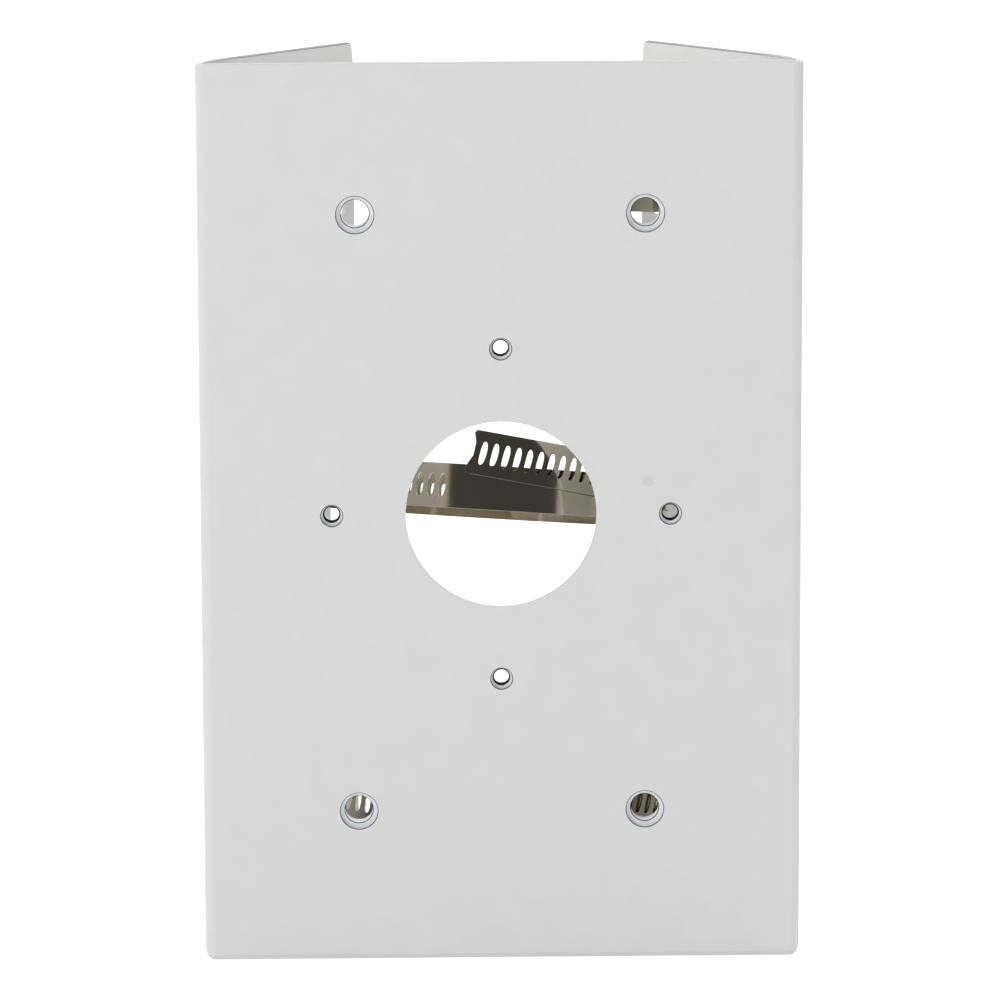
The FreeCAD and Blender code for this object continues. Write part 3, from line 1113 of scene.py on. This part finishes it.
@dataclass(frozen=True)
class NutMesh:
    """Builds a weld nut: chamfered hexagon outside, tapped bore with lead-ins inside."""

    across_flats: float
    height: float
    bore: float
    thread_depth: float
    pitch: float
    lead: float
    land: float
    lead_depth: float = 0.3
    flank: float = 0.44
    chamfer: float = 0.3
    chamfer_degrees: float = 30.0
    smooth_degrees: float = 38.0
    angle_steps: int = 72
    rows_per_pitch: int = 10

    def hexagon(self, turn: float) -> float:
        """Give the hexagon's radius, with a corner at the right.

        Args:
            turn: share of a full turn.

        Returns:
            The radius in mm.
        """
        angle = math.radians((turn * 360.0) % 60.0 - 30.0)
        return self.across_flats / 2 / math.cos(angle)

    def groove(self, along: float, turn: float) -> float:
        """Give the tapped bore's radius.

        Args:
            along: place along the bore, in mm.
            turn: share of a full turn.

        Returns:
            The radius in mm.
        """
        phase = (along / self.pitch - turn) % 1.0
        groove = self.thread_depth * max(0.0, 1.0 - abs(phase - 0.5) / self.flank)
        flare = max(0.0, along - self.land) * self.lead / (self.height - self.land)
        return self.bore / 2 + max(groove, flare)

    def profile(self, turn: float) -> list[tuple[float, float, int]]:
        """Go once round the nut's section at one angle.

        Args:
            turn: share of a full turn.

        Returns:
            Radius, place along the bore, and number of the finish from there on: coat, lead-in or bore.
        """
        radius = self.bore / 2
        count = int(self.rows_per_pitch * self.height / self.pitch)
        depth = min(self.lead, self.lead_depth)
        points = [(self.hexagon(turn), 0.0, 0), (radius + self.lead, 0.0, 1)]
        for step in range(count + 1):
            along = depth + (self.height - depth) * step / count
            inside = radius if step == 0 else self.groove(along, turn)
            points.append((inside, along, 2))
        circle = self.across_flats / 2 - self.chamfer
        outside = self.hexagon(turn)
        points.append((radius + self.thread_depth + self.lead, self.height, 0))
        points.append((circle, self.height, 0))
        fall = (outside - circle) * math.tan(math.radians(self.chamfer_degrees))
        points.append((outside, self.height - fall, 0))
        return points

    def build(self, name: str, centre: Vector, materials: list[Material]) -> Piece:
        """Build the nut at its place.

        Args:
            name: name of the new piece.
            centre: middle of the nut's front face, in mm.
            materials: the finishes of the coat, of the lead-in and of the bore.

        Returns:
            The nut in the row frame.
        """
        sections = [self.profile(step / self.angle_steps) for step in range(self.angle_steps)]
        points, finishes = [], []
        for step, section in enumerate(sections):
            for radius, along, finish in section:
                wide, tall = on_circle(radius, FULL_TURN * step / self.angle_steps)
                points.append((centre + Vector((wide, along, tall))) * MM)
                finishes.append(finish)
        piece = object_from_mesh(name, points, tube_faces(self.angle_steps, len(sections[0])))
        for material in materials:
            piece.data.materials.append(material)
        piece.data.polygons.foreach_set("material_index", finishes)
        turn_outward(piece)
        smooth_by_angle(piece, self.smooth_degrees)
        return piece


CORNER_NUT = NutMesh(15.0, 4.5, 7.8, 0.3, 1.5875, 0.2, 3.4)
SMALL_NUT = NutMesh(9.0, 3.6, 4.14, 0.3, 0.8, 0.4, 1.4)


@dataclass
class Bracket:
    """The folded plate with its tapped weld nuts under a powder coat."""

    coat: Material
    lit_nut_coat: Material
    bore_steel_and_shade: Material
    cut_and_shade_steel: Material
    plate_edge_mm: float = 0.35
    sheet: float = 2.0
    half_spacing: Pair = (40.0, 85.0)
    circle_radius: float = 47.0
    corner_hole_radius: float = 5.4
    small_hole_radius: float = 3.2
    ring_out: float = -0.07
    ring_back: float = 0.16
    ring_tube: float = 0.14
    ring_steps: int = 72
    tube_steps: int = 8
    ring_smooth: float = 80.0

    def nut_places(self) -> dict[str, Pair]:
        """List the weld nuts, the corner ones first and then those round the cable hole.

        Returns:
            X and Z in mm by node name.
        """
        wide, tall = self.half_spacing
        places = {}
        for level, z in (("upper", tall), ("lower", -tall)):
            for side, x in (("left", -wide), ("right", wide)):
                places[f"corner_nut_{level}_{side}"] = (x, z)
        radius = self.circle_radius
        for side, x, z in (("top", 0.0, radius), ("right", radius, 0.0), ("bottom", 0.0, -radius),
                           ("left", -radius, 0.0)):
            places[f"small_nut_{side}"] = (x, z)
        return places

    def build_nut(self, node: str, place: Pair, shape: NutMesh, bore: Material) -> Piece:
        """Build one tapped nut that stands for the node's plain one.

        Args:
            node: name of the node.
            place: X and Z in mm.
            shape: the nut's sizes.
            bore: finish of the tapped bore.

        Returns:
            The nut.
        """
        centre = Vector((place[0], self.sheet, place[1]))
        # The nuts take the lit copy of the coat; their lead-ins, and the small nuts' bores, take the nearly
        # black steel of painted shade
        piece = shape.build(f"{node}_fine", centre, [self.lit_nut_coat, self.bore_steel_and_shade, bore])
        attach(piece, Bodies.BRACKET.value)
        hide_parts(node)
        return piece

    def build_edge_shade_rings(self) -> Piece:
        """Build the thin dark ring round each screw hole: painted shade of the crevice at
        the hole's edge, with the bare punched edge.

        Returns:
            One object with all eight rings.
        """
        points: list[Vector] = []
        faces: list[tuple[int, ...]] = []
        around, tube = self.ring_steps, self.tube_steps
        for node, (x, z) in self.nut_places().items():
            radius = self.corner_hole_radius if node.startswith("corner") else self.small_hole_radius
            faces += tube_faces(around, tube, len(points))
            for step in range(around):
                for part in range(tube):
                    out, back = on_circle(self.ring_tube, FULL_TURN * part / tube)
                    wide, tall = on_circle(radius + self.ring_out + out, FULL_TURN * step / around)
                    points.append(Vector((x + wide, self.ring_back + back, z + tall)) * MM)
        piece = object_from_mesh("punched_edge_shade_rings", points, faces)
        dress(piece, self.cut_and_shade_steel)
        turn_outward(piece)
        smooth_by_angle(piece, self.ring_smooth)
        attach(piece, Bodies.BRACKET.value)
        return piece

    def build(self) -> list[Piece]:
        """Coat the plate, build the nuts and the dark rings of painted shade at the holes' edges.

        Returns:
            Every piece of the bracket.
        """
        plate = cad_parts["mount_plate"]
        dress(plate, self.coat)
        round_edges(plate, self.plate_edge_mm, 3)
        pieces = [plate, self.build_edge_shade_rings()]
        for node, place in self.nut_places().items():
            if node.startswith("corner"):
                pieces.append(self.build_nut(node, place, CORNER_NUT, self.lit_nut_coat))
            else:
                pieces.append(self.build_nut(node, place, SMALL_NUT, self.bore_steel_and_shade))
        return pieces


# The stage


@dataclass(frozen=True)
class Lamp:
    """One soft area lamp aimed at the object, by azimuth and elevation in degrees."""

    name: str
    azimuth: float
    elevation: float
    distance: float
    size: float
    power: float
    colour: str = "#FFFFFF"

    def build(self, target: Vector) -> None:
        """Place the lamp.

        Args:
            target: what it is aimed at.
        """
        light = bpy.data.lights.new(self.name, "AREA")
        light.shape = "DISK"
        light.size = self.size
        light.energy = self.power
        light.color = linear_from_hex(self.colour)[:3]
        lamp = link_object(self.name, light)
        aim_from(lamp, self.azimuth, self.elevation, target, self.distance)


@dataclass(frozen=True)
class Card:
    """One curved card of the room, by its two azimuths in degrees, that only the steel sees."""

    name: str
    azimuths: Pair
    colour: str
    heights: Pair = (-0.9, 1.4)
    distance: float = 2.6
    steps: int = 12

    def build(self) -> None:
        """Stand the card round the object."""
        start, stop = self.azimuths
        points = []
        for step in range(self.steps + 1):
            back = direction_to(start + (stop - start) * step / self.steps, 0.0) * self.distance
            points += [back + Vector((0.0, 0.0, level)) for level in self.heights]
        faces = [(2 * step, 2 * step + 2, 2 * step + 3, 2 * step + 1) for step in range(self.steps)]
        card = object_from_mesh(self.name, points, faces)
        dress(card, glow_material(self.name + "_cloth", self.colour, 1.0))
        card.visible_camera = False
        card.visible_diffuse = False
        card.visible_shadow = False
        card.visible_transmission = False


@dataclass
class Studio:
    """Pale floor, world and lamps, with dark and warm room parts for the steel to reflect."""

    floor_half: float = 3.0
    floor_colour: str = "#F2F2F2"
    floor_glow: float = 0.2
    floor_lift: float = 0.42
    bounce_near: float = 0.05
    bounce_far: float = 0.55
    bounce_half: float = 0.3
    bounce_lift: float = 0.001
    bounce_glow: float = 0.95
    world_front: float = 0.48
    world_rear: float = 1.0
    world_from: float = -0.5
    world_to: float = 0.6
    target: tuple[float, float, float] = (0.0, 0.04, 0.0)
    lamps: tuple[Lamp, ...] = (
        Lamp("key_left_front", -42.0, 34.0, 2.0, 0.9, 8.3, "#FFFEFB"),
        Lamp("low_front", -12.0, -2.0, 2.0, 1.0, 3.4),
        Lamp("fill_right", 48.0, 4.0, 2.0, 1.2, 0.7, "#FBFCFF"),
        Lamp("back_top", 160.0, 46.0, 1.6, 0.9, 4.6),
    )
    cards: tuple[Card, ...] = (
        Card("dark_room_card", (-21.0, 31.0), "#4E4D4B"),
        Card("left_flank_card", (-62.0, -21.2), "#C4C1BA"),
        Card("right_flank_card", (31.2, 62.0), "#C4C1BA"),
    )

    def lay_sheet(self, name: str, half: float, front: float, rear: float, height: float) -> Piece:
        """Lay a flat rectangle.

        Args:
            name: name of the sheet.
            half: half its width.
            front: Y of its front edge.
            rear: Y of its rear edge.
            height: its height.

        Returns:
            The sheet.
        """
        corners = [Vector((-half, front, height)), Vector((half, front, height)),
                   Vector((half, rear, height)), Vector((-half, rear, height))]
        return object_from_mesh(name, corners, [(0, 1, 2, 3)])

    def build_floor(self, height: float) -> None:
        """Lay the pale floor, white to the camera outside the object's shadow.

        Args:
            height: height of the floor.
        """
        floor = self.lay_sheet("floor", self.floor_half, -self.floor_half, self.floor_half, height)
        material, tree = new_material("pale_floor")
        pale = add_node(tree, "BsdfDiffuse", {"Color": linear_from_hex(self.floor_colour)})
        lift = add_node(tree, "Emission", {"Strength": self.floor_lift})
        glow = add_node(tree, "Emission", {"Strength": self.floor_glow})
        path = add_node(tree, "LightPath")
        extra = add_node(
            tree, "MixShader", None,
            {0: path.outputs["Is Camera Ray"], 1: glow.outputs[0], 2: lift.outputs[0]},
        )
        both = add_node(tree, "AddShader", None, {0: pale.outputs[0], 1: extra.outputs[0]})
        add_node(tree, "OutputMaterial", None, {"Surface": both.outputs[0]})
        dress(floor, material)

    def build_world(self) -> None:
        """Make the world white to the camera, and to the object a room that is brightest behind it."""
        world = bpy.data.worlds.new("studio")
        bpy.context.scene.world = world
        world.use_nodes = True
        tree = world.node_tree
        tree.nodes.clear()
        place = add_node(tree, "TexCoord")
        axes = add_node(tree, "SeparateXYZ", None, {0: place.outputs["Generated"]})
        reach, levels = (self.world_from, self.world_to), (self.world_front, self.world_rear)
        level = add_range(tree, axes.outputs["Y"], reach, levels)
        colour = {"Color": linear_from_hex("#FFFFFF")}
        soft = add_node(tree, "Background", colour, {"Strength": level})
        white = add_node(tree, "Background", colour)
        path = add_node(tree, "LightPath")
        mix = add_node(
            tree, "MixShader", None,
            {0: path.outputs["Is Camera Ray"], 1: soft.outputs[0], 2: white.outputs[0]},
        )
        add_node(tree, "OutputWorld", None, {"Surface": mix.outputs[0]})

    def build_bounce(self, height: float) -> None:
        """Lay a glowing bounce card on the floor in front, hidden from the camera.

        Args:
            height: height of the floor.
        """
        level = height + self.bounce_lift
        card = self.lay_sheet("bounce_card", self.bounce_half, -self.bounce_far, -self.bounce_near, level)
        dress(card, glow_material("bounce_cloth", "#FFFFFF", self.bounce_glow))
        card.visible_camera = False
        card.visible_shadow = False

    def build(self, floor_height: float) -> None:
        """Build world, floor, lamps and cards.

        Args:
            floor_height: height of the object's lowest point.
        """
        self.build_world()
        self.build_floor(floor_height)
        self.build_bounce(floor_height)
        for lamp in self.lamps:
            lamp.build(Vector(self.target))
        for card in self.cards:
            card.build()


@dataclass(frozen=True)
class PhotoCamera:
    """The camera of the reference view, found by fitting the plate's corners and holes."""

    distance: float = 2.17564
    azimuth: float = -1.0568
    elevation: float = 13.3769
    roll: float = -0.182
    target: tuple[float, float, float] = (-0.000302, 0.0, 0.004217)
    focal_pixels: float = 7844.47
    image_pixels: float = 1000.0
    sensor_mm: float = 36.0
    clip: Pair = (0.05, 50.0)

    def build(self) -> None:
        """Make the camera and give it to the scene."""
        data = bpy.data.cameras.new("photo_camera")
        data.sensor_width = self.sensor_mm
        data.lens = self.focal_pixels / self.image_pixels * self.sensor_mm
        data.clip_start, data.clip_end = self.clip
        camera = link_object("photo_camera", data)
        aim_from(camera, self.azimuth, self.elevation, Vector(self.target), self.distance)
        roll = Quaternion((0.0, 0.0, 1.0), math.radians(self.roll))
        camera.rotation_quaternion = camera.rotation_quaternion @ roll
        bpy.context.scene.camera = camera


def main() -> None:
    """Build the looks of every piece, the stage and the camera."""
    logging.basicConfig(level=logging.INFO, format="%(name)s: %(message)s")
    bpy.context.scene.view_settings.view_transform = "Standard"
    coats = [finish.build() for finish in (POWDER_COAT, LIT_NUT_COAT, BORE_STEEL_AND_SHADE, CUT_EDGE_AND_SHADE_STEEL)]
    made = Bracket(*coats).build()
    steels = [finish.build() for finish in (BAND_STEEL, HOUSING_STEEL, SCREW_STEEL)]
    for strap in Strap:
        made += StrapAssembly(strap, *steels).build()
    for piece in made:
        LOG.info("%s: %d faces", piece.name, len(piece.data.polygons))
    Studio().build(CAD_BOX[0].z)
    PhotoCamera().build()


if __name__ == "__main__":
    main()
